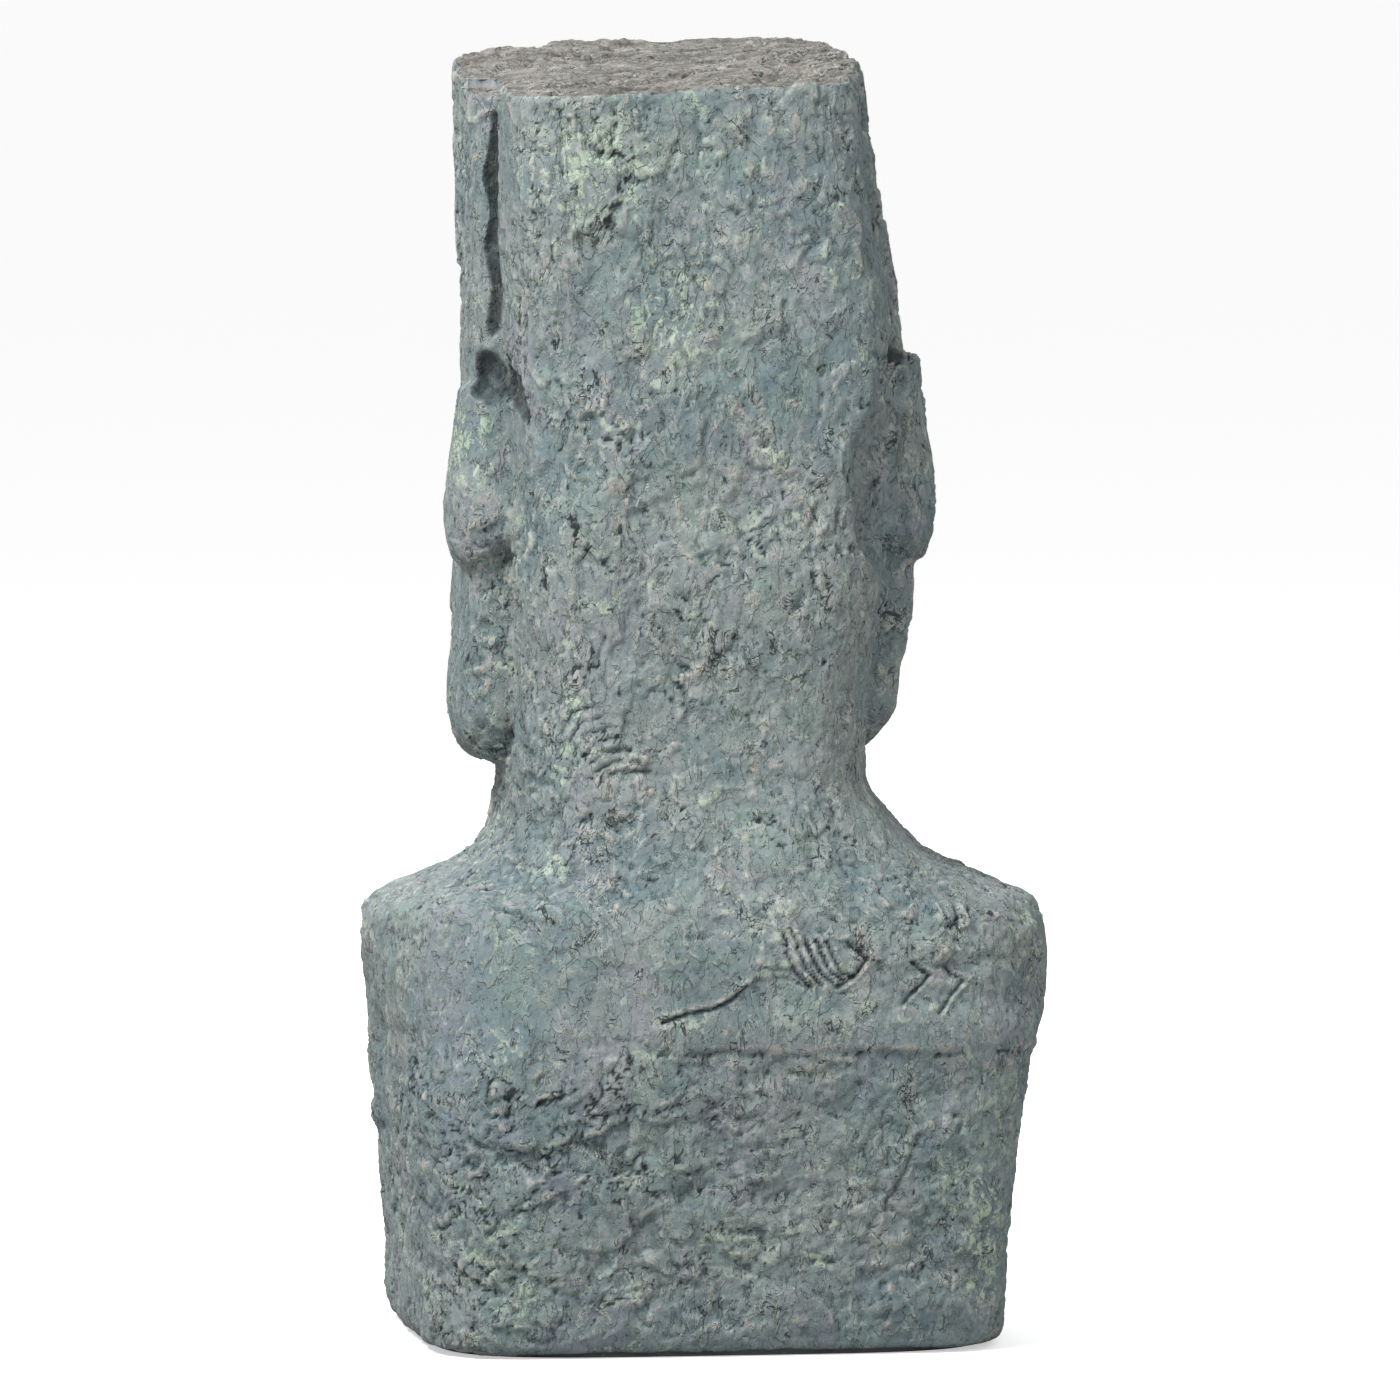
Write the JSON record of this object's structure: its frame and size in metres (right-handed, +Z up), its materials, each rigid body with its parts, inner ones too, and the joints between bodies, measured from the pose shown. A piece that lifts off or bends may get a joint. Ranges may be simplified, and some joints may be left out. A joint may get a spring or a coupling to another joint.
{
  "type": "garden statue",
  "caption": "Hollow cast garden bust of a long-headed stone ancestor figure, with a flat crown, long ears and rounded shoulders, closed below by a base plate with a ballast plug.",
  "frame": {"origin": "on the resting plane, under the middle of the bounding box", "axes": "+Z up along the figure's height, the face looks along -Y, +X is the figure's left side"},
  "size_m": [0.267, 0.2332, 0.508],
  "materials": {
    "cast_stone_resin": "rough, weathered",
    "glass_mat": "resin-soaked mat",
    "plate_resin": "matte",
    "bond_resin": "matte",
    "plug_rubber": "matte"
  },
  "bodies": {
    "bust": {"front_shell": "cast_stone_resin", "back_shell": "cast_stone_resin", "left_seam_tape": "glass_mat", "right_seam_tape": "glass_mat", "crown_seam_tape": "glass_mat", "base_plate": "plate_resin", "base_bond_bead": "bond_resin"},
    "plug": {"ballast_plug": "plug_rubber"}
  },
  "joints": [
    {"name": "plug_pull", "type": "slide", "parent": "bust", "child": "plug", "axis": [0, 0, -1], "range_m": [0, 0.036]}
  ]
}
